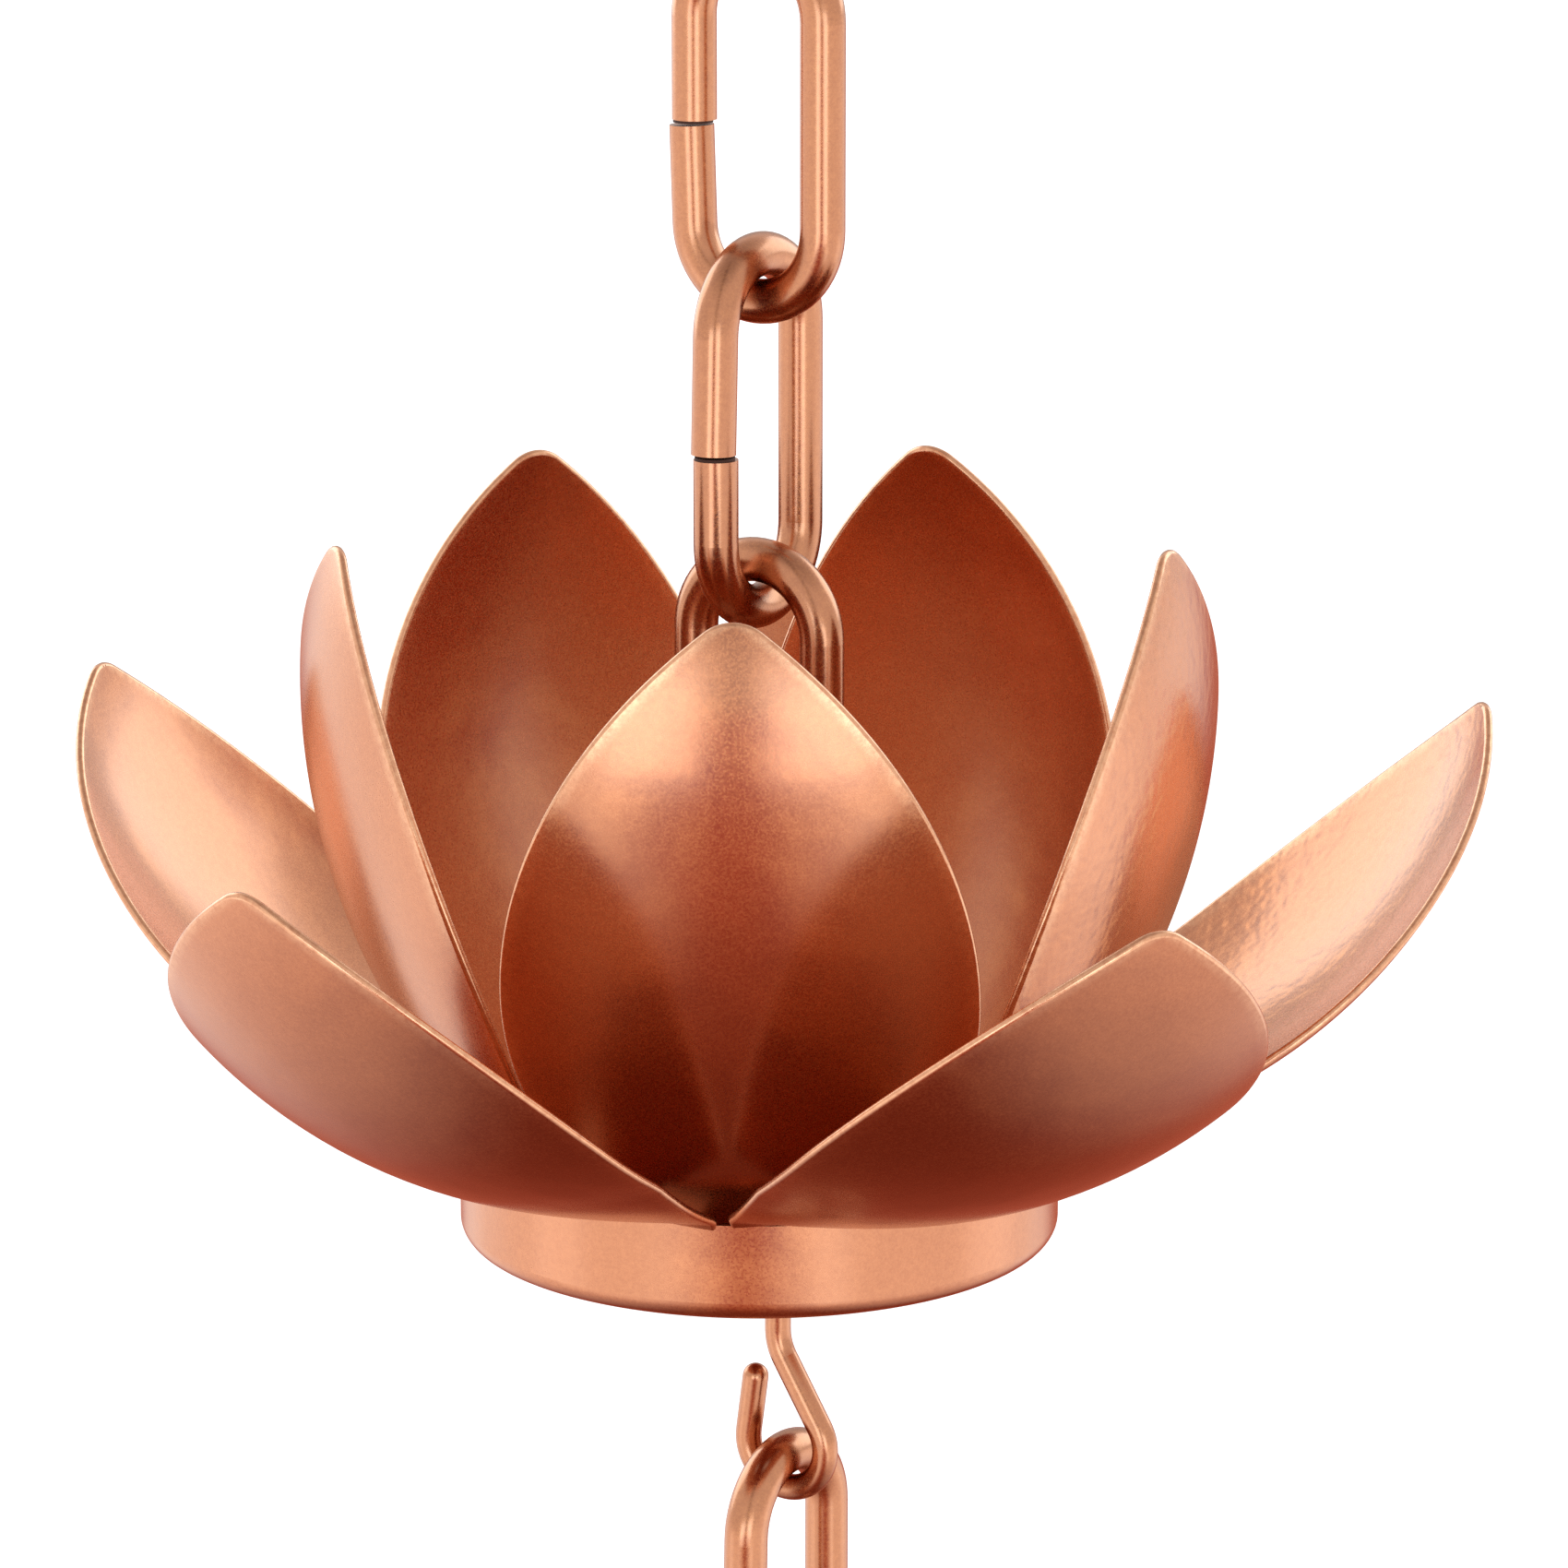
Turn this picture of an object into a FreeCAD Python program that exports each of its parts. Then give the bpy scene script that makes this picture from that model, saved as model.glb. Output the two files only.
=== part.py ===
import FreeCAD, Part
import os
from math import acos, asin, cos, degrees, radians, sin

V = FreeCAD.Vector

# Rain chain section with one lotus cup, in millimetres, +Z up.
# The origin is the point inside the upper link where the chain above it bears.
# Links lie by turns in the XZ plane and in the YZ plane.

# Chain links, bent from round wire with the two ends butted on one leg
link_length = 35.8
link_width = 17.6
link_wire = 4.0
link_butt_gap = 0.25
link_spring_angle = 2.0
# how far under the middle of its leg the joint lies, for links in the XZ plane and for turned ones
link_butt_drop = 0.3
turned_link_butt_drop = 1.4
chain_play = 0.2

# Cup hook, one bent wire: an eye inside the cup and an open hook under the pan
hook_wire = 2.4
eye_radius = 4.2
eye_neck_radius = 2.5
eye_end_angle = 40.0
eye_height = 30.2
joggle_drop = 1.0
joggle_radius = 6.0
joggle_angle = 34.0
hook_neck = 1.8
hook_bend_radius = 5.0
hook_slant = 32.0
hook_slant_length = 7.2
hook_radius = 4.25
hook_point_angle = 8.0
hook_point_length = 5.4

# Base pan, pressed from sheet
sheet = 0.8
pan_radius = 27.5
pan_height = 9.0
pan_corner_radius = 1.8
pan_wire_clearance = 0.15
drain_count = 5
drain_diameter = 6.0
drain_circle_radius = 12.5
drain_azimuth = 36.0

# Petals, pressed from the same sheet. The chord runs straight from root to tip.
# Roots are set in from the pan's outside, the inner ones under its rim and the outer ones over it.
inner_chord = 61.6
inner_bulge = 8.4
inner_cross_radius = 50.0
inner_half_width = 20.6
inner_widest = 26.0
inner_root_half_width = 8.5
inner_root_inset = 5.5
inner_root_drop = 1.5
# azimuth of each inner petal, its lean from upright, its tilt to one side and how far its root is moved in
inner_petals = (
    (-58.8, 18.4, -0.3, 0.4),
    (10.8, 15.9, -0.1, 0.3),
    (88.8, 6.5, 0.8, 0.2),
    (157.2, 14.6, 0.5, 0.3),
    (232.0, 16.3, 0.4, 0.5),
)

outer_chord = 56.0
outer_bulge = 8.8
outer_cross_radius = 46.8
outer_half_width = 20.8
outer_widest = 24.1
outer_root_half_width = 13.0
outer_root_inset = 1.1
outer_root_rise = 0.4
# azimuth of each outer petal, its lean from upright, its tilt to one side and how far its root is moved in
outer_petals = (
    (-31.0, 50.4, 3.0, 0.0),
    (42.8, 47.3, -1.0, 0.0),
    (120.0, 50.0, 0.0, 0.0),
    (191.8, 46.7, -0.1, 0.0),
    (266.1, 48.8, -0.5, 0.0),
)

petal_tip_radius = 4.3
petal_overrun_angle = 3.0
tab_half_width = 5.0
tab_bend_radius = 2.2

# Heights along the chain, worked out from the sizes above
link_bar_span = link_length - link_wire
link_step = link_bar_span - link_wire - chain_play
upper_top_bar = link_wire / 2
lower_top_bar = upper_top_bar - link_step
cup_top_bar = lower_top_bar - link_step
cup_bottom_bar = cup_top_bar - link_bar_span
eye_top_bar = cup_bottom_bar + (link_wire + hook_wire) / 2 + chain_play
eye_centre = eye_top_bar - eye_radius
pan_bottom = eye_centre - eye_height
pan_floor = pan_bottom + sheet

# Where the petals' roots stand, from the pan
inner_root_radius = pan_radius - inner_root_inset
inner_root_height = pan_height - inner_root_drop
outer_root_radius = pan_radius - outer_root_inset
outer_root_height = pan_height + outer_root_rise


def follow(start, heading, runs, offset=0.0):
    """Edges in the XZ plane along (length, 0) runs and (radius, turn) bends, moved offset to the left."""
    edges = []
    point = start
    angle = radians(heading)

    def left(direction):
        return V(-sin(direction), 0, cos(direction))

    for size, turn in runs:
        if turn == 0:
            end = point + V(cos(angle), 0, sin(angle)) * size
            edges.append(Part.makeLine(point + left(angle) * offset, end + left(angle) * offset))
            point = end
            continue
        reach = size if turn > 0 else -size
        centre = point + left(angle) * reach
        stops = [angle + radians(turn) * share for share in (0.0, 0.5, 1.0)]
        edges.append(Part.Arc(*[centre - left(stop) * (reach - offset) for stop in stops]).toShape())
        angle = stops[2]
        point = centre - left(angle) * reach
    return edges


def bent_wire(start, heading, runs, diameter, rounded=False):
    """Round wire swept along runs and bends in the XZ plane, with its far end rounded or cut flat."""
    path = follow(start, heading, runs)
    ahead = V(cos(radians(heading)), 0, sin(radians(heading)))
    circle = Part.Wire(Part.makeCircle(diameter / 2, start, ahead))
    wire = Part.Wire(path).makePipeShell([circle], True, False)
    if rounded:
        wire = wire.fuse(Part.makeSphere(diameter / 2, path[-1].valueAt(path[-1].LastParameter)))
    return wire


def sheet_section(start, heading, runs):
    """Face of one sheet thickness around runs and bends in the XZ plane."""
    near = follow(start, heading, runs, -sheet / 2)
    far = follow(start, heading, runs, sheet / 2)
    caps = [
        Part.makeLine(near[0].valueAt(near[0].FirstParameter), far[0].valueAt(far[0].FirstParameter)),
        Part.makeLine(near[-1].valueAt(near[-1].LastParameter), far[-1].valueAt(far[-1].LastParameter)),
    ]
    return Part.Face(Part.Wire(Part.__sortEdges__(near + far + caps)))


def save(name, shape):
    shape.exportStep("parts/" + name + ".step")


def link(butt_drop):
    """One link in the XZ plane, its upper bar's centre at the origin and its lower end sprung outwards."""
    bend_radius = (link_width - link_wire) / 2
    leg = link_bar_span - 2 * bend_radius
    upper_half = (leg - link_butt_gap) / 2 + butt_drop
    lower_half = (leg - link_butt_gap) / 2 - butt_drop
    start = V(-bend_radius, 0, -bend_radius - upper_half)
    runs = (
        (upper_half, 0),
        (bend_radius, -180),
        (leg, 0),
        (bend_radius, -180 + link_spring_angle),
        (lower_half, 0),
    )
    return bent_wire(start, 90, runs, link_wire)


def cup_hook():
    """Eye in the YZ plane, shank through the pan and open hook in the XZ plane."""
    neck_angle = degrees(acos(eye_neck_radius / (eye_neck_radius + eye_radius)))
    neck_bottom = eye_centre - (eye_neck_radius + eye_radius) * sin(radians(neck_angle))
    middle = V(0, 0, pan_floor + (neck_bottom - pan_floor) / 2)
    eye_runs = (
        (neck_bottom - middle.z, 0),
        (eye_neck_radius, neck_angle),
        (eye_radius, -(neck_angle + 180 + eye_end_angle)),
    )
    eye = bent_wire(middle, 90, eye_runs, hook_wire)
    eye.rotate(V(0, 0, 0), V(0, 0, 1), 90)
    hook_runs = (
        (middle.z - pan_bottom + joggle_drop, 0),
        (joggle_radius, joggle_angle),
        (joggle_radius, -joggle_angle),
        (hook_neck, 0),
        (hook_bend_radius, hook_slant),
        (hook_slant_length, 0),
        (hook_radius, -(hook_slant + 180 + hook_point_angle)),
        (hook_point_length, 0),
    )
    hook = bent_wire(middle, -90, hook_runs, hook_wire, rounded=True)
    return eye.fuse(hook).removeSplitter()


def hook_seat():
    """Lowest point of the open hook's centre line, where the bottom link hangs."""
    slant = radians(hook_slant)
    joggle = radians(joggle_angle)
    across = 2 * joggle_radius * (1 - cos(joggle))
    across += hook_bend_radius * (1 - cos(slant)) + hook_slant_length * sin(slant)
    across -= hook_radius * cos(slant)
    drop = joggle_drop + 2 * joggle_radius * sin(joggle) + hook_neck
    drop += hook_bend_radius * sin(slant) + hook_slant_length * cos(slant)
    drop += hook_radius * sin(slant) + hook_radius
    return V(across, 0, pan_bottom - drop)


def base_pan():
    """Pressed pan with a hole for the hook and a ring of drain holes."""
    bend = pan_corner_radius - sheet / 2
    wall_line = pan_radius - sheet / 2
    runs = (
        (wall_line - bend, 0),
        (bend, 90),
        (pan_height - sheet / 2 - bend, 0),
    )
    section = sheet_section(V(0, 0, pan_bottom + sheet / 2), 0, runs)
    pan = section.revolve(V(0, 0, 0), V(0, 0, 1), 360)
    wire_hole = hook_wire / 2 + pan_wire_clearance
    pan = pan.cut(Part.makeCylinder(wire_hole, 3 * sheet, V(0, 0, pan_bottom - sheet)))
    for index in range(drain_count):
        hole = Part.makeCylinder(drain_diameter / 2, 3 * sheet, V(drain_circle_radius, 0, pan_bottom - sheet))
        hole.rotate(V(0, 0, 0), V(0, 0, 1), drain_azimuth + index * 360 / drain_count)
        pan = pan.cut(hole)
    return pan


def petal_outline(chord, half_width, widest, root_half_width, tab_reach):
    """Flat outline with X along the chord: tab, root shoulders, rounded sides and a rounded point."""
    reach = chord - petal_tip_radius - widest
    upper = (reach ** 2 + half_width ** 2 - petal_tip_radius ** 2) / (2 * (half_width - petal_tip_radius))
    tip = asin(reach / (upper - petal_tip_radius))
    taper = half_width - root_half_width
    lower = (widest ** 2 + taper ** 2) / (2 * taper)
    root_turn = asin(widest / lower)

    def side_point(radius, turn, hand):
        return V(widest + radius * sin(turn), hand * (half_width - radius * (1 - cos(turn))), 0)

    edges = [Part.Arc(side_point(upper, tip, 1), V(chord, 0, 0), side_point(upper, tip, -1)).toShape()]
    for hand in (1, -1):
        widest_point = side_point(lower, 0, hand)
        root_corner = V(0, hand * root_half_width, 0)
        tab_root = V(0, hand * tab_half_width, 0)
        tip_end = side_point(upper, tip, hand)
        edges.append(Part.Arc(widest_point, side_point(upper, tip / 2, hand), tip_end).toShape())
        edges.append(Part.Arc(root_corner, side_point(lower, -root_turn / 2, hand), widest_point).toShape())
        edges.append(Part.makeLine(root_corner, tab_root))
        edges.append(Part.makeLine(tab_root, tab_root - V(tab_reach, 0, 0)))
    edges.append(Part.makeLine(V(-tab_reach, tab_half_width, 0), V(-tab_reach, -tab_half_width, 0)))
    return Part.Face(Part.Wire(Part.__sortEdges__(edges)))


def petal(shape, place):
    """Cupped petal with a tab bent down onto the pan's floor."""
    chord, bulge, cross_radius, half_width, widest, root_half_width, root_radius, root_height = shape
    azimuth, lean, tilt, inset = place
    arc_radius = (bulge ** 2 + (chord / 2) ** 2) / (2 * bulge)
    half_turn = degrees(asin(chord / 2 / arc_radius))
    over = radians(half_turn + petal_overrun_angle)
    start = V(chord / 2 + arc_radius * sin(over), 0, bulge - arc_radius + arc_radius * cos(over))
    runs = (
        (arc_radius, 2 * half_turn + petal_overrun_angle),
        (tab_bend_radius, -(half_turn + lean)),
        (root_height, 0),
    )
    section = sheet_section(start, 180 - half_turn - petal_overrun_angle, runs)
    wrap = degrees(asin(half_width / (cross_radius - bulge)))
    axis_point = V(0, 0, bulge - cross_radius)
    section.rotate(axis_point, V(1, 0, 0), -wrap)
    skin = section.revolve(axis_point, V(1, 0, 0), 2 * wrap)

    tab_reach = root_height + 2 * tab_bend_radius
    outline = petal_outline(chord, half_width, widest, root_half_width, tab_reach)
    outline.translate(V(0, 0, -cross_radius))
    blank = skin.common(outline.extrude(V(0, 0, cross_radius + 2 * bulge)))

    blank.rotate(V(0, 0, 0), V(1, 0, 0), 180)
    blank.rotate(V(0, 0, 0), V(0, 0, 1), tilt)
    blank.rotate(V(0, 0, 0), V(0, 1, 0), lean - 90)
    blank.translate(V(root_radius - inset, 0, pan_bottom + root_height))
    blank.rotate(V(0, 0, 0), V(0, 0, 1), azimuth)
    below = Part.makeBox(4 * pan_radius, 4 * pan_radius, 4 * pan_height)
    below.translate(V(-2 * pan_radius, -2 * pan_radius, pan_floor - 4 * pan_height))
    return blank.cut(below)


def place_link(height, butt_drop, across=0.0, turned=False, flipped=False):
    """A link with its upper bar at the given height, if asked turned into the YZ plane or upside down."""
    placed = link(-butt_drop if flipped else butt_drop)
    if flipped:
        placed.rotate(V(0, 0, -link_bar_span / 2), V(1, 0, 0), 180)
    if turned:
        placed.rotate(V(0, 0, 0), V(0, 0, 1), 90)
    placed.translate(V(across, 0, height))
    return placed


os.makedirs("parts", exist_ok=True)

seat = hook_seat()
bottom_top_bar = seat.z + (link_wire + hook_wire) / 2 + chain_play

save("upper_link", place_link(upper_top_bar, link_butt_drop))
save("lower_link", place_link(lower_top_bar, turned_link_butt_drop, turned=True, flipped=True))
save("cup_link", place_link(cup_top_bar, link_butt_drop))
save("bottom_link", place_link(bottom_top_bar, turned_link_butt_drop, seat.x, turned=True, flipped=True))
save("cup_hook", cup_hook())
save("base_pan", base_pan())

inner_shape = (
    inner_chord, inner_bulge, inner_cross_radius, inner_half_width, inner_widest,
    inner_root_half_width, inner_root_radius, inner_root_height,
)
outer_shape = (
    outer_chord, outer_bulge, outer_cross_radius, outer_half_width, outer_widest,
    outer_root_half_width, outer_root_radius, outer_root_height,
)
for number, place in enumerate(inner_petals, 1):
    save("inner_petal_%d" % number, petal(inner_shape, place))
for number, place in enumerate(outer_petals, 1):
    save("outer_petal_%d" % number, petal(outer_shape, place))
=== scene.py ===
from math import asin, cos, pi, radians, sin, sqrt

import bpy
from mathutils import Matrix, Vector


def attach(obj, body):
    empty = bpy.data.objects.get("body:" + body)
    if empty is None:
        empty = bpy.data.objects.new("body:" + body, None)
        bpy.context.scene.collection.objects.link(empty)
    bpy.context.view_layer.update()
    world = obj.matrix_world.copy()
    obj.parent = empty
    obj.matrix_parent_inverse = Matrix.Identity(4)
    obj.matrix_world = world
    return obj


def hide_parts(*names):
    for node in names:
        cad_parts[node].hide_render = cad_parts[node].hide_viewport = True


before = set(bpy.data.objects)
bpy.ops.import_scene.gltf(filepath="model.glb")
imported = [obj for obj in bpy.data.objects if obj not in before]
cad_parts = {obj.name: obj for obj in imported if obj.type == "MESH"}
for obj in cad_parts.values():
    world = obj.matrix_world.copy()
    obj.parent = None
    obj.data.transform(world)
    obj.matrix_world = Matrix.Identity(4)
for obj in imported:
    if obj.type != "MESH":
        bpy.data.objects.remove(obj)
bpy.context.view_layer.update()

# Shapes are written in millimetres and turned into metres by new_object. Lamps and paints are in metres.
MM = 0.001

# Petals as in the solids, apart from the outer ones' root_half, which is 13 mm there, and from flat_root,
# the length from the root over which a petal comes from a small share of its curve across to all of it.
SHEET = 0.8
PAN_BOTTOM = -116.0
TIP_RADIUS = 4.3
TAB_HALF_WIDTH = 5.0
TAB_BEND_RADIUS = 2.2
TAB_FOOT_CLEARANCE = 0.05
ROOT_CURVE_SHARE = 0.15
INNER = dict(
    chord=61.6, bulge=8.4, cross=50.0, half=20.6, widest=26.0,
    root_half=8.5, root_radius=22.0, root_height=7.5, flat_root=0.1,
)
OUTER = dict(
    chord=56.0, bulge=8.8, cross=46.8, half=20.8, widest=24.1,
    root_half=15.5, root_radius=26.4, root_height=9.4, flat_root=15.0,
)
# Azimuth of each petal, its lean from upright, its tilt to one side and how far its root is moved in
INNER_PLACES = (
    (-58.8, 18.4, -0.3, 0.4),
    (10.8, 15.9, -0.1, 0.3),
    (88.8, 6.5, 0.8, 0.2),
    (157.2, 14.6, 0.5, 0.3),
    (232.0, 16.3, 0.4, 0.5),
)
OUTER_PLACES = (
    (-31.0, 50.4, 3.0, 0.0),
    (42.8, 47.3, -1.0, 0.0),
    (120.0, 50.0, 0.0, 0.0),
    (191.8, 46.7, -0.1, 0.0),
    (266.1, 48.8, -0.5, 0.0),
)
# Petals on which the hammer marks show most, in both rows
HAMMERED = (2,)
# Width of the band inside a petal's rim on which the paint is rubbed and a paler highlight is painted
RUBBED_HIGHLIGHT_BAND = 1.2

# Rows of a petal's mesh along it, columns across it and steps round its rim
TAB_STEPS = 6
BEND_STEPS = 6
ROOT_STEPS = 24
SIDE_STEPS = 36
TIP_STEPS = 10
COLUMNS = 40
RIM_STEPS = 6
# where the columns lie across the petal, closer together towards its sides
ACROSS = [sin((2 * column / COLUMNS - 1) * pi / 2) for column in range(COLUMNS + 1)]

# Middle of each link's butt joint, and the dark disc in it: the dark cut ends of the wire and painted shade in the
# gap
JOINTS = {
    "upper_link": (-6.95, 0.0, -14.2),
    "lower_link": (0.0, -6.95, -42.9),
    "cup_link": (-6.95, 0.0, -69.4),
    "bottom_link": (3.02, -6.95, -154.67),
}
JOINT_RADIUS = 1.8
JOINT_THICKNESS = 0.3
JOINT_SIDES = 32

# Paint: what all copper paints share, the range that most of a noise lies in, how far the noises change
# the shade and the roughness, bump heights, and colours
PAINT = {
    "Metallic": 1.0,
    "Coat Weight": 0.65,
    "Coat Roughness": 0.22,
    "Coat IOR": 2.1,
    "Specular Tint": (0.97, 0.87, 0.78, 1),
}
NOISE_LOW, NOISE_HIGH = 0.3, 0.7
FLAKE_SHADE, GRAIN_SHADE = 0.2, 0.15
FLAKE_ROUGHNESS, UNEVEN_ROUGHNESS = 0.05, 0.03
PEEL_BUMP = 0.00001
FLAKE_BUMP = 0.000003
SHEET_DARK, SHEET_LIGHT = (0.50, 0.147, 0.042), (0.69, 0.24, 0.082)
WIRE_DARK, WIRE_LIGHT = (0.43, 0.128, 0.033), (0.63, 0.222, 0.068)
# paler rim colour: rubbed paint, and a painted highlight along the rim
WORN_AND_HIGHLIGHT_COLOUR = (0.78, 0.36, 0.17, 1)
# dark cut ends and painted shade in each link's butt joint
JOINT_DARK_AND_SHADE_COLOUR = (0.07, 0.02, 0.008, 1)
JOINT_ROUGHNESS = 0.7

# Camera at the photograph's angle, fitted in pixels of its 1700 pixel frame, and where it stands from the pan
FOCAL, FRAME_WIDTH = 6350.0, 1700.0
SENSOR_WIDTH = 36.0
PITCH, HEADING = radians(13.78), radians(33.5)
PAN_POINT = Vector((0, 0, -115.8))
PAN_ASIDE, PAN_BELOW, PAN_AWAY = -2.27, 40.65, 540.42

# Soft boxes: azimuth from the camera to its right, elevation, width, height and brightness.
# LAMP_WATTS is the power of a square metre at brightness 1.
LAMPS = {
    "soft_box_left": (-22, -3, 0.46, 0.44, 1.72),
    "soft_box_right": (12, -3, 0.46, 0.44, 1.72),
    "fill_box_left": (-38, -24, 0.26, 0.25, 0.15),
    "fill_box_right": (28, -24, 0.28, 0.25, 0.55),
    "side_box_left": (-82, -18, 0.5, 0.36, 0.3),
    "side_box_right": (98, -18, 0.5, 0.36, 0.3),
    "rim_box_left": (-134, 19, 0.95, 0.9, 1.1),
    "rim_box_right": (129, 23, 0.85, 0.75, 1.1),
}
LAMP_DISTANCE = 1.2
LAMP_COLOUR = (0.73, 1.0, 1.14)
LAMP_WATTS = 4
LAMP_AIM_ABOVE_PAN = 25

# Tent and floor: how far left of the camera the tent's dark slot lies, and how the dark band on the floor
# is turned and grows wider away from the camera, all in parts of a direction's length
SLOT_LEFT = 0.1
BAND_TURN = 0.1
BAND_WIDENING = 0.12
FLOOR_HALF_WIDTH = 12000
FLOOR_HEIGHT = -900


def new_object(name, vertices, faces, material):
    mesh = bpy.data.meshes.new(name)
    mesh.from_pydata([Vector(v) * MM for v in vertices], [], faces)
    mesh.validate()
    mesh.polygons.foreach_set("use_smooth", [True] * len(mesh.polygons))
    mesh.materials.append(material)
    made = bpy.data.objects.new(name, mesh)
    bpy.context.scene.collection.objects.link(made)
    return made


def outline(shape, inset):
    """Rows of (x, half width) along a petal's chord from root to tip, its outline drawn in by inset."""
    half, root_half = shape["half"] - inset, shape["root_half"] - inset
    widest, tip = shape["widest"], TIP_RADIUS - inset
    tip_centre = shape["chord"] - TIP_RADIUS
    reach = tip_centre - widest
    upper = (reach ** 2 + half ** 2 - tip ** 2) / (2 * (half - tip))
    taper = half - root_half
    lower = (widest ** 2 + taper ** 2) / (2 * taper)
    rows = []
    for step in range(1, ROOT_STEPS + 1):
        turn = asin(widest / lower) * (1 - step / ROOT_STEPS)
        rows.append((widest - lower * sin(turn), half - lower * (1 - cos(turn))))
    last = asin(reach / (upper - tip))
    for step in range(1, SIDE_STEPS + 1):
        turn = last * step / SIDE_STEPS
        rows.append((widest + upper * sin(turn), half - upper * (1 - cos(turn))))
    for step in range(1, TIP_STEPS + 1):
        turn = last + (pi / 2 - last) * step / TIP_STEPS
        rows.append((tip_centre + tip * sin(turn), tip * cos(turn)))
    return rows


def petal_rows(shape, lean, tilt, inset):
    """Rows of (x, z, half width) along the middle of the sheet from the tab's foot to the tip."""
    chord, bulge = shape["chord"], shape["bulge"]
    arc = (bulge ** 2 + (chord / 2) ** 2) / (2 * bulge)
    turn = asin(chord / 2 / arc)
    sweep = turn + radians(lean)
    bend = TAB_BEND_RADIUS
    centre_x, centre_z = -bend * sin(turn), bend * cos(turn)
    tab, root_half = TAB_HALF_WIDTH - inset, shape["root_half"] - inset

    def bend_point(angle):
        sideways, rise = sin(turn), -cos(turn)
        return (centre_x + bend * (cos(angle) * sideways + sin(angle) * rise),
                centre_z + bend * (cos(angle) * rise - sin(angle) * sideways))

    end_x, end_z = bend_point(sweep)
    down_x, down_z = -cos(radians(lean)), sin(radians(lean))
    # how far the foot still is above the pan's floor once the petal stands in its place
    height = shape["root_height"] - SHEET + end_x * cos(radians(lean)) - end_z * sin(radians(lean))
    leg = height - inset - TAB_FOOT_CLEARANCE - TAB_HALF_WIDTH * sin(radians(abs(tilt)))
    rows = []
    for step in range(TAB_STEPS + 1):
        share = 1 - step / TAB_STEPS
        rows.append((end_x + down_x * leg * share, end_z + down_z * leg * share, tab))
    for step in range(BEND_STEPS - 1, -1, -1):
        x, z = bend_point(sweep * step / BEND_STEPS)
        ease = 1 - step / BEND_STEPS
        rows.append((x, z, tab + (root_half - tab) * max(0.0, 2 * ease - 1) ** 2))
    for x, half in outline(shape, inset):
        rows.append((x, bulge - arc + sqrt(arc ** 2 - (x - chord / 2) ** 2), half))
    return rows


def petal_sheet(shape, rows):
    """Points and normals of the middle of a petal's sheet, row by row, and those of its tip."""
    axis_z = shape["bulge"] - shape["cross"]

    def on_sheet(x, z, y):
        drop = z - axis_z - sqrt((z - axis_z) ** 2 - y ** 2)
        share = min(1.0, max(0.0, x / shape["flat_root"]))
        return Vector((x, y, z - drop * (ROOT_CURVE_SHARE + (1 - ROOT_CURVE_SHARE) * sqrt(share))))

    grid = [[on_sheet(x, z, half * across) for across in ACROSS] for x, z, half in rows[:-1]]
    tip = on_sheet(rows[-1][0], rows[-1][1], 0.0)

    def normal_at(row, column):
        after = grid[row + 1][column] if row + 1 < len(grid) else tip
        before = grid[max(row - 1, 0)][column]
        one_side = grid[row][min(column + 1, COLUMNS)]
        other_side = grid[row][max(column - 1, 0)]
        return (after - before).cross(one_side - other_side).normalized()

    normals = [[normal_at(row, column) for column in range(COLUMNS + 1)] for row in range(len(grid))]
    return grid, normals, tip, normals[-1][COLUMNS // 2]


def petal_mesh(grid, normals, tip, tip_normal):
    """Vertices and faces of the closed sheet with its rounded rim, and the vertex numbers of its two faces."""
    rim = SHEET / 2
    vertices, faces = [], []

    def face_rows(offset):
        numbers = []
        for line, line_normals in zip(grid, normals):
            numbers.append(list(range(len(vertices), len(vertices) + COLUMNS + 1)))
            vertices.extend(point + normal * offset for point, normal in zip(line, line_normals))
        return numbers

    upper, lower = face_rows(rim), face_rows(-rim)
    upper_tip, lower_tip = len(vertices), len(vertices) + 1
    vertices += [tip + tip_normal * rim, tip - tip_normal * rim]
    for row in range(len(grid) - 1):
        for column in range(COLUMNS):
            a, b = upper[row][column], upper[row][column + 1]
            c, d = upper[row + 1][column + 1], upper[row + 1][column]
            faces.append((a, d, c, b))
            a, b = lower[row][column], lower[row][column + 1]
            c, d = lower[row + 1][column + 1], lower[row + 1][column]
            faces.append((a, b, c, d))
    for column in range(COLUMNS):
        faces.append((upper[-1][column], upper_tip, upper[-1][column + 1]))
        faces.append((lower[-1][column], lower[-1][column + 1], lower_tip))

    def round_border(by_row, at_tip):
        """What lies on the border: up one side, the tip, down the other side and along the foot."""
        up_side = [line[COLUMNS] for line in by_row]
        down_side = [line[0] for line in reversed(by_row)]
        return up_side + [at_tip] + down_side + by_row[0][1:COLUMNS]

    points = round_border(grid, tip)
    border_normals = round_border(normals, tip_normal)
    total = len(points)
    outward = []
    for index in range(total):
        along = points[(index + 1) % total] - points[index - 1]
        outward.append(along.cross(border_normals[index]).normalized())
    centre = sum(points, Vector()) / total
    if sum((point - centre).dot(way) for point, way in zip(points, outward)) < 0:
        outward = [-way for way in outward]
    rings = [round_border(upper, upper_tip)]
    for step in range(1, RIM_STEPS):
        angle = pi * step / RIM_STEPS
        rings.append(list(range(len(vertices), len(vertices) + total)))
        for point, normal, way in zip(points, border_normals, outward):
            vertices.append(point + (normal * cos(angle) + way * sin(angle)) * rim)
    rings.append(round_border(lower, lower_tip))
    for near, far in zip(rings, rings[1:]):
        for index in range(total):
            after = (index + 1) % total
            faces.append((near[index], near[after], far[after], far[index]))
    return vertices, faces, (upper, lower)


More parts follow.
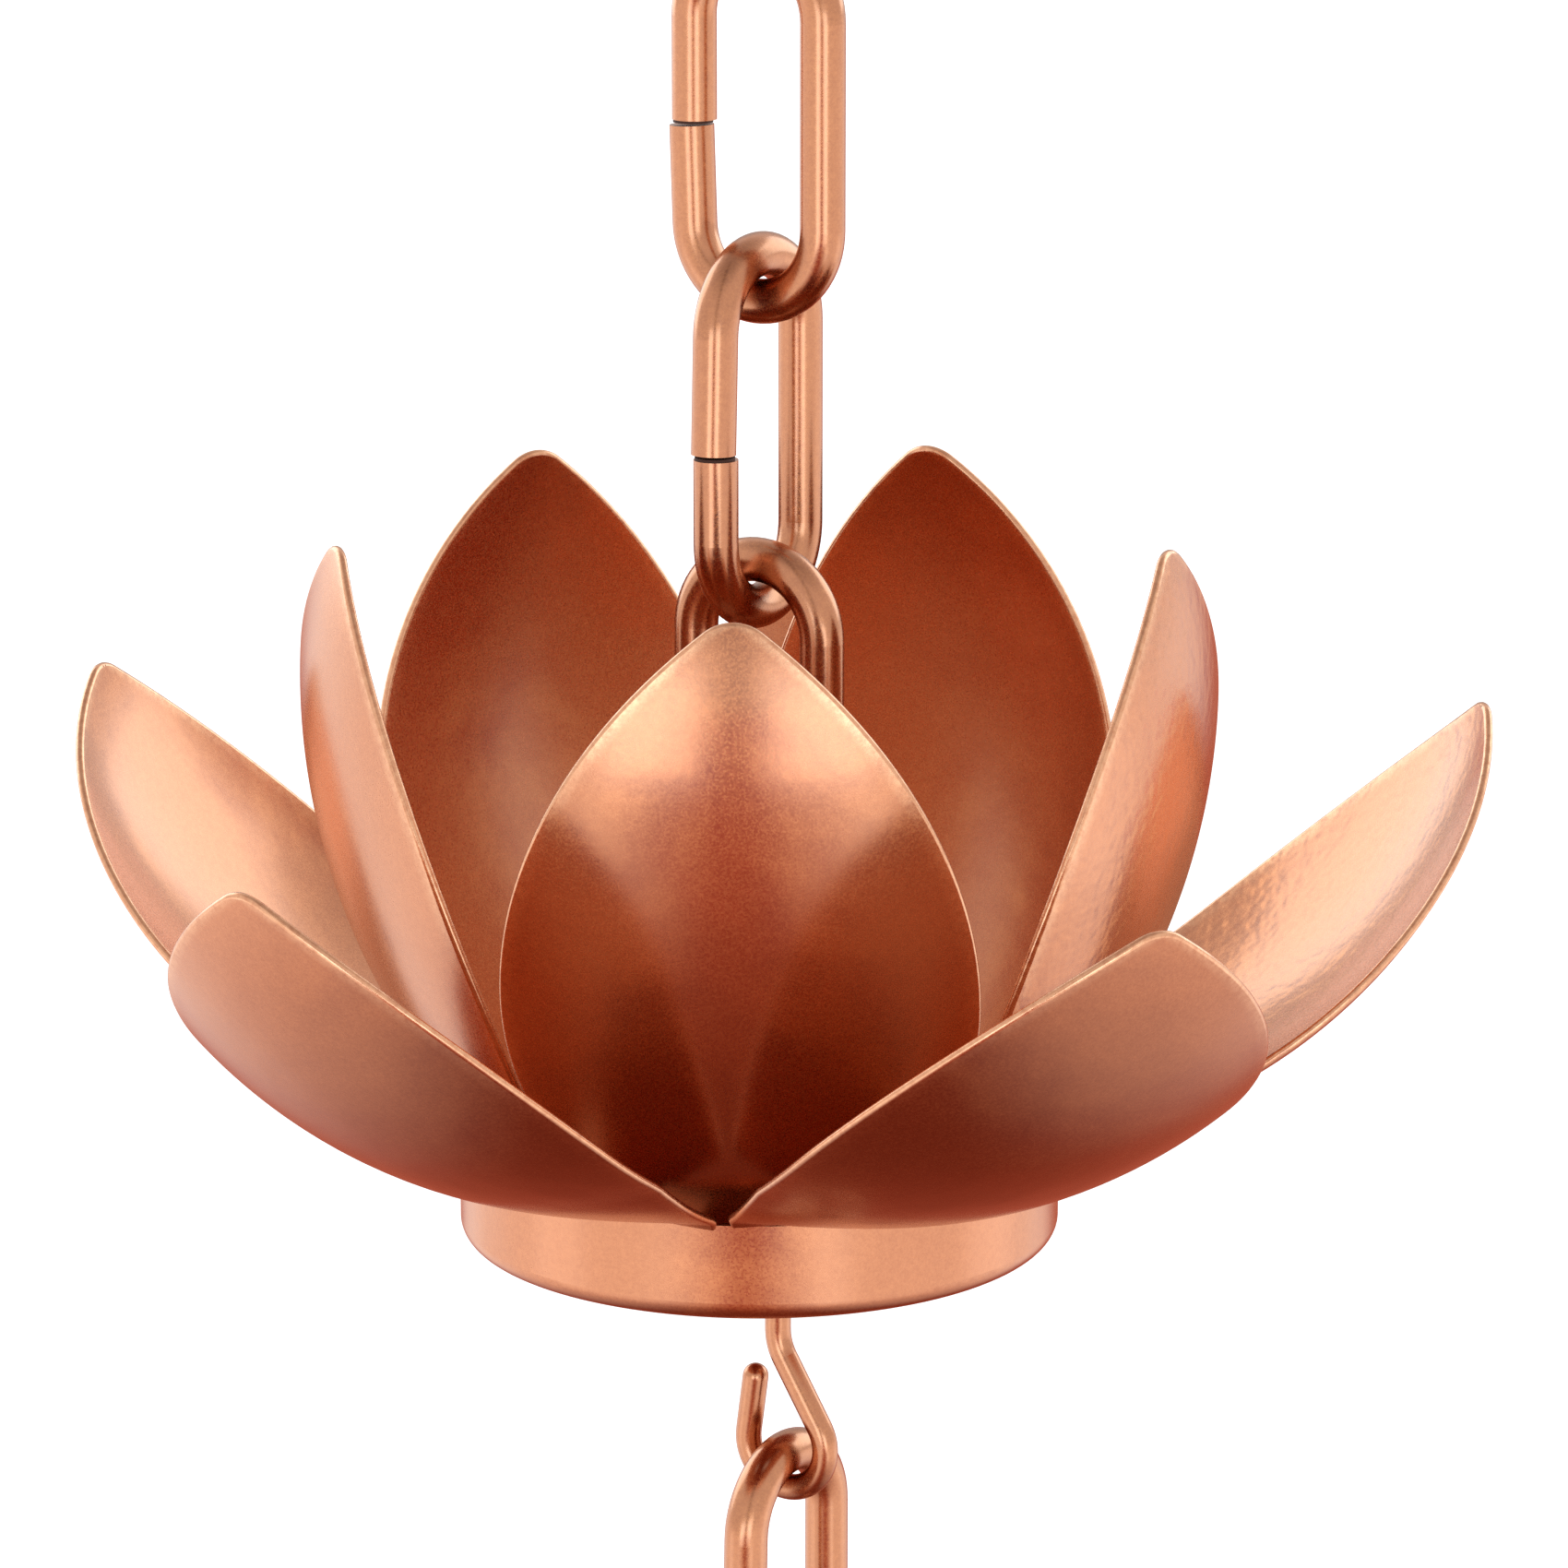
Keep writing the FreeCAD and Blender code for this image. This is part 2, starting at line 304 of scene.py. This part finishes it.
def stood(vertices, shape, place):
    """A petal's vertices where it stands in the cup."""
    azimuth, lean, tilt = (radians(angle) for angle in place[:3])
    root_radius = shape["root_radius"] - place[3]
    placed = []
    for v in vertices:
        along = v.x * cos(tilt) + v.y * sin(tilt)
        side = v.x * sin(tilt) - v.y * cos(tilt)
        out = along * sin(lean) + v.z * cos(lean) + root_radius
        height = along * cos(lean) - v.z * sin(lean) + PAN_BOTTOM + shape["root_height"]
        placed.append((out * cos(azimuth) - side * sin(azimuth), out * sin(azimuth) + side * cos(azimuth), height))
    return placed


def petal(name, shape, place, material):
    """A cupped sheet petal with a rounded rim all round, standing in its place."""
    lean, tilt = place[1:3]
    rows = petal_rows(shape, lean, tilt, SHEET / 2)
    vertices, faces, both_faces = petal_mesh(*petal_sheet(shape, rows))
    made = new_object(name, stood(vertices, shape, place), faces, material)
    # how far the paint is rubbed and a highlight is painted, falling off over a narrow band inside the rim
    rubbed_and_highlight = [1.0] * len(vertices)
    for row, (_, _, half) in enumerate(rows[:-1]):
        for column, across in enumerate(ACROSS):
            inside = half * (1 - abs(across))
            for numbers in both_faces:
                rubbed_and_highlight[numbers[row][column]] = max(0.0, 1 - inside / RUBBED_HIGHLIGHT_BAND)
    rim_wear_and_highlight = made.data.attributes.new("rim_wear_and_highlight", "FLOAT", "POINT")
    rim_wear_and_highlight.data.foreach_set("value", rubbed_and_highlight)
    return made


def disc(name, centre, radius, thickness, material):
    """Round disc that lies flat in the joint between two upright wire ends."""
    x, y, z = centre
    sides = JOINT_SIDES
    turns = [2 * pi * side / sides for side in range(sides)]
    vertices = [(x + radius * cos(turn), y + radius * sin(turn), z + thickness / 2) for turn in turns]
    vertices += [(x + radius * cos(turn), y + radius * sin(turn), z - thickness / 2) for turn in turns]
    faces = [tuple(range(sides)), tuple(range(2 * sides - 1, sides - 1, -1))]
    for side in range(sides):
        after = (side + 1) % sides
        faces.append((side, side + sides, after + sides, after))
    made = new_object(name, vertices, faces, material)
    made.data.polygons.foreach_set("use_smooth", [False] * len(made.data.polygons))
    return made


class Tree:
    """Small helper that adds nodes to one node tree."""

    def __init__(self, owner):
        owner.use_nodes = True
        self.nodes, self.links = owner.node_tree.nodes, owner.node_tree.links

    def add(self, kind, **settings):
        node = self.nodes.new("ShaderNode" + kind)
        for name, value in settings.items():
            setattr(node, name, value)
        return node

    def feed(self, socket, value):
        if isinstance(value, bpy.types.NodeSocket):
            self.links.new(value, socket)
        else:
            socket.default_value = value

    def math(self, operation, first, second=0.0):
        node = self.add("Math", operation=operation)
        self.feed(node.inputs[0], first)
        self.feed(node.inputs[1], second)
        return node.outputs[0]

    def along(self, vector, axis):
        node = self.add("VectorMath", operation="DOT_PRODUCT")
        self.feed(node.inputs[0], vector)
        self.feed(node.inputs[1], axis)
        return node.outputs["Value"]

    def ranged(self, value, low, high, to_low=0.0, to_high=1.0, kind="SMOOTHSTEP"):
        node = self.add("MapRange", interpolation_type=kind)
        self.feed(node.inputs["Value"], value)
        self.feed(node.inputs["From Min"], low)
        self.feed(node.inputs["From Max"], high)
        self.feed(node.inputs["To Min"], to_low)
        self.feed(node.inputs["To Max"], to_high)
        return node.outputs["Result"]

    def mixed(self, share, first, second):
        node = self.add("MixShader")
        self.feed(node.inputs[0], share)
        self.feed(node.inputs[1], first)
        self.feed(node.inputs[2], second)
        return node.outputs["Shader"]

    def seen_white(self, plain, mask, white):
        """White for camera rays, and as the mask says for glossy and transmission rays too."""
        path = self.add("LightPath")
        bent = self.math("MAXIMUM", path.outputs["Is Glossy Ray"], path.outputs["Is Transmission Ray"])
        share = self.math("MAXIMUM", path.outputs["Is Camera Ray"], self.math("MULTIPLY", bent, mask))
        return self.mixed(share, plain, white)


def copper_paint(name, dark, light, roughness, dents, dent_scale, swell):
    """Clear-coated copper flake paint: speckle, orange peel, shallow dents, slow swell, and a rubbed rim with a
    painted highlight.
    """
    material = bpy.data.materials.new(name)
    tree = Tree(material)
    shader = tree.nodes["Principled BSDF"]
    for socket, value in PAINT.items():
        shader.inputs[socket].default_value = value
    place = tree.add("TexCoord").outputs["Object"]

    def noise(scale, detail, harshness=0.5):
        node = tree.add("TexNoise")
        node.inputs["Scale"].default_value = scale
        node.inputs["Detail"].default_value = detail
        node.inputs["Roughness"].default_value = harshness
        tree.feed(node.inputs["Vector"], place)
        return node.outputs["Fac"]

    def stretched(source, to_low, to_high, high=NOISE_HIGH):
        return tree.ranged(source, NOISE_LOW, high, to_low, to_high, "LINEAR")

    flakes = noise(scale=4200.0, detail=1.0)
    grains = noise(scale=1500.0, detail=2.0, harshness=0.7)
    peel = noise(scale=620.0, detail=2.0)
    dent = noise(scale=dent_scale, detail=1.0)
    wave = noise(scale=130.0, detail=1.0)
    uneven = noise(scale=38.0, detail=3.0)

    # colour: fine speckle over a slow drift, paler on the rim, where the paint is rubbed and a highlight is
    # painted
    flake_shade = stretched(flakes, -FLAKE_SHADE, FLAKE_SHADE)
    grain_shade = stretched(grains, -GRAIN_SHADE, GRAIN_SHADE)
    speckle = tree.math("ADD", flake_shade, grain_shade)
    shade = tree.math("ADD", speckle, stretched(uneven, 0.35, 0.65))
    ramp = tree.add("ValToRGB")
    ramp.color_ramp.elements[0].color = (*dark, 1)
    ramp.color_ramp.elements[1].color = (*light, 1)
    tree.feed(ramp.inputs["Fac"], shade)
    rim_wear_and_highlight = tree.add("Attribute", attribute_name="rim_wear_and_highlight")
    rubbed_and_highlight = tree.math("MULTIPLY", rim_wear_and_highlight.outputs["Fac"], stretched(grains, 0.3, 1.0, high=0.6))
    worn_and_highlight = tree.add("Mix", data_type="RGBA")
    tree.feed(worn_and_highlight.inputs["Factor"], rubbed_and_highlight)
    tree.feed(worn_and_highlight.inputs["A"], ramp.outputs["Color"])
    tree.feed(worn_and_highlight.inputs["B"], WORN_AND_HIGHLIGHT_COLOUR)
    tree.feed(shader.inputs["Base Color"], worn_and_highlight.outputs["Result"])

    sparkle = stretched(flakes, roughness - FLAKE_ROUGHNESS, roughness + FLAKE_ROUGHNESS)
    drift = stretched(uneven, -UNEVEN_ROUGHNESS, UNEVEN_ROUGHNESS)
    tree.feed(shader.inputs["Roughness"], tree.math("ADD", sparkle, drift))

    # bumps from the slowest to the finest, each over the one before
    last = None
    for source, distance in ((wave, swell), (dent, dents), (peel, PEEL_BUMP), (flakes, FLAKE_BUMP)):
        bump = tree.add("Bump")
        bump.inputs["Strength"].default_value = 1.0
        bump.inputs["Distance"].default_value = distance
        tree.feed(bump.inputs["Height"], source)
        if last:
            tree.feed(bump.inputs["Normal"], last.outputs["Normal"])
        last = bump
    tree.feed(shader.inputs["Normal"], last.outputs["Normal"])
    return material


sheet_paint = copper_paint(
    "copper_sheet_paint", SHEET_DARK, SHEET_LIGHT,
    roughness=0.27, dents=0.000018, dent_scale=520.0, swell=0.00025,
)
hammered_paint = copper_paint(
    "copper_hammered_paint", SHEET_DARK, SHEET_LIGHT,
    roughness=0.27, dents=0.00011, dent_scale=700.0, swell=0.00025,
)
wire_paint = copper_paint(
    "copper_wire_paint", WIRE_DARK, WIRE_LIGHT,
    roughness=0.26, dents=0.00001, dent_scale=520.0, swell=0.00003,
)

for number, place in enumerate(INNER_PLACES, 1):
    paint = hammered_paint if number in HAMMERED else sheet_paint
    piece = petal("pressed_inner_petal_%d" % number, INNER, place, paint)
    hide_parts("inner_petal_%d" % number)
    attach(piece, "cup")
for number, place in enumerate(OUTER_PLACES, 1):
    paint = hammered_paint if number in HAMMERED else sheet_paint
    piece = petal("pressed_outer_petal_%d" % number, OUTER, place, paint)
    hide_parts("outer_petal_%d" % number)
    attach(piece, "cup")

# Dark disc in the butt joint of each link: the dark cut ends of the wire, and painted shade in the gap between
# them
joint_dark_and_shade = bpy.data.materials.new("joint_dark_and_shade")
joint_shader = Tree(joint_dark_and_shade).nodes["Principled BSDF"]
joint_shader.inputs["Base Color"].default_value = JOINT_DARK_AND_SHADE_COLOUR
joint_shader.inputs["Roughness"].default_value = JOINT_ROUGHNESS
for body, centre in JOINTS.items():
    piece = disc(body + "_joint", centre, JOINT_RADIUS, JOINT_THICKNESS, joint_dark_and_shade)
    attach(piece, body)

for name in ("upper_link", "lower_link", "cup_link", "bottom_link", "cup_hook"):
    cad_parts[name].data.materials.clear()
    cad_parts[name].data.materials.append(wire_paint)
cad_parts["base_pan"].data.materials.clear()
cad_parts["base_pan"].data.materials.append(sheet_paint)

# Camera and the directions that the light is set by: to its right, away from it and up
right = Vector((cos(HEADING), sin(HEADING), 0))
away = Vector((-sin(HEADING), cos(HEADING), 0))
up = Vector((0, 0, 1))
forward = away * cos(PITCH) - up * sin(PITCH)
camera_up = up * cos(PITCH) + away * sin(PITCH)
camera_place = PAN_POINT - (right * PAN_ASIDE - camera_up * PAN_BELOW + forward * PAN_AWAY)
lens = bpy.data.cameras.new("camera")
lens.sensor_width = SENSOR_WIDTH
lens.sensor_fit = "HORIZONTAL"
lens.lens = SENSOR_WIDTH * FOCAL / FRAME_WIDTH
lens.clip_start = 0.01
lens.clip_end = 20.0
camera = bpy.data.objects.new("camera", lens)
axes = (right, camera_up, -forward)
placing = [[*(axis[row] for axis in axes), camera_place[row] * MM] for row in range(3)]
camera.matrix_world = Matrix(placing + [[0, 0, 0, 1]])
bpy.context.scene.collection.objects.link(camera)
bpy.context.scene.camera = camera


def lamp(name, azimuth, elevation, width, height, brightness):
    """Soft box aimed at the cup; azimuth 0 is at the camera, positive to its right."""
    aim = Vector((0, 0, PAN_BOTTOM + LAMP_AIM_ABOVE_PAN)) * MM
    turn, rise = radians(azimuth), radians(elevation)
    way = (right * sin(turn) - away * cos(turn)) * cos(rise) + up * sin(rise)
    light = bpy.data.lights.new(name, "AREA")
    light.shape = "RECTANGLE"
    light.size = width
    light.size_y = height
    light.energy = brightness * LAMP_WATTS * width * height
    light.color = LAMP_COLOUR
    made = bpy.data.objects.new(name, light)
    made.location = aim + way * LAMP_DISTANCE
    made.rotation_euler = (-way).to_track_quat("-Z", "Y").to_euler()
    bpy.context.scene.collection.objects.link(made)


for name, settings in LAMPS.items():
    lamp(name, *settings)

# White tent all round, dimmer overhead and straight behind, with a dark slot that the camera looks through
world = bpy.data.worlds.new("studio")
bpy.context.scene.world = world
tree = Tree(world)
direction = tree.add("TexCoord").outputs["Generated"]
backwards = tree.along(direction, away)
walls = tree.ranged(tree.along(direction, up), low=0.55, high=1.0, to_low=1.0, to_high=0.5)
far = tree.ranged(backwards, low=0.75, high=0.97, to_low=1.0, to_high=0.5)
aside = tree.math("ABSOLUTE", tree.math("ADD", tree.along(direction, right), SLOT_LEFT))
slot = tree.ranged(aside, low=0.04, high=0.12, to_low=0.5, to_high=1.0)
slot = tree.math("MAXIMUM", slot, tree.ranged(backwards, low=-0.3, high=0.0))
mask = tree.math("MULTIPLY", tree.math("MULTIPLY", walls, far), slot)
room = tree.nodes["Background"]
room.inputs["Color"].default_value = (0.6, 0.6, 0.6, 1)
dark = tree.add("Background")
dark.inputs["Color"].default_value = (0.12, 0.06, 0.05, 1)
white = tree.add("Background")
white.inputs["Color"].default_value = (1, 1, 1, 1)
diffuse = tree.add("LightPath").outputs["Is Diffuse Ray"]
dim = tree.mixed(diffuse, dark.outputs["Background"], room.outputs["Background"])
tent = tree.seen_white(dim, mask, white.outputs["Background"])
tree.feed(tree.nodes["World Output"].inputs["Surface"], tent)

# Pale floor far under the hanging chain; in the metal it shows a painted warm shade, glowing, before, behind and
# under the cup
floor_paint = bpy.data.materials.new("pale_floor")
tree = Tree(floor_paint)
tree.nodes.remove(tree.nodes["Principled BSDF"])
plain = tree.add("BsdfDiffuse")
plain.inputs["Color"].default_value = (0.75, 0.75, 0.75, 1)
glow = tree.add("Emission")
glow.inputs["Color"].default_value = (0.85, 0.85, 0.85, 1)
pale = tree.add("AddShader")
tree.feed(pale.inputs[0], glow.outputs["Emission"])
tree.feed(pale.inputs[1], plain.outputs["BSDF"])
# painted warm shade on the floor, a glow that only glossy rays see
painted_warm_shade = tree.add("Emission")
painted_warm_shade.inputs["Color"].default_value = (0.335, 0.074, 0.042, 1)
glossy = tree.add("LightPath").outputs["Is Glossy Ray"]
dim = tree.mixed(glossy, plain.outputs["BSDF"], painted_warm_shade.outputs["Emission"])
toward = tree.add("VectorMath", operation="NORMALIZE")
tree.feed(toward.inputs[0], tree.add("TexCoord").outputs["Object"])
toward = toward.outputs["Vector"]
slope = tree.along(toward, up)
# how far the metal sees the pale floor instead of the painted warm shade: beside the band and at shallow slopes
aside = tree.math("ABSOLUTE", tree.along(toward, right - away * BAND_TURN))
narrowed = tree.math("ADD", aside, tree.along(toward, away * -BAND_WIDENING))
beside = tree.ranged(narrowed, low=0.15, high=0.6)
shallow = tree.ranged(slope, low=-0.85, high=-0.45, to_low=0.4, to_high=1.0)
outside_painted_shade = tree.math("MULTIPLY", beside, shallow)
painted_shade_strength = tree.ranged(slope, low=-1.0, high=-0.5, to_low=0.6, to_high=1.6, kind="LINEAR")
tree.feed(painted_warm_shade.inputs["Strength"], painted_shade_strength)
shown = tree.seen_white(dim, outside_painted_shade, pale.outputs["Shader"])
tree.feed(tree.nodes["Material Output"].inputs["Surface"], shown)
corners = [
    (-FLOOR_HALF_WIDTH, -FLOOR_HALF_WIDTH, FLOOR_HEIGHT),
    (FLOOR_HALF_WIDTH, -FLOOR_HALF_WIDTH, FLOOR_HEIGHT),
    (FLOOR_HALF_WIDTH, FLOOR_HALF_WIDTH, FLOOR_HEIGHT),
    (-FLOOR_HALF_WIDTH, FLOOR_HALF_WIDTH, FLOOR_HEIGHT),
]
new_object("floor", corners, [(0, 1, 2, 3)], floor_paint)

bpy.context.scene.view_settings.view_transform = "Standard"
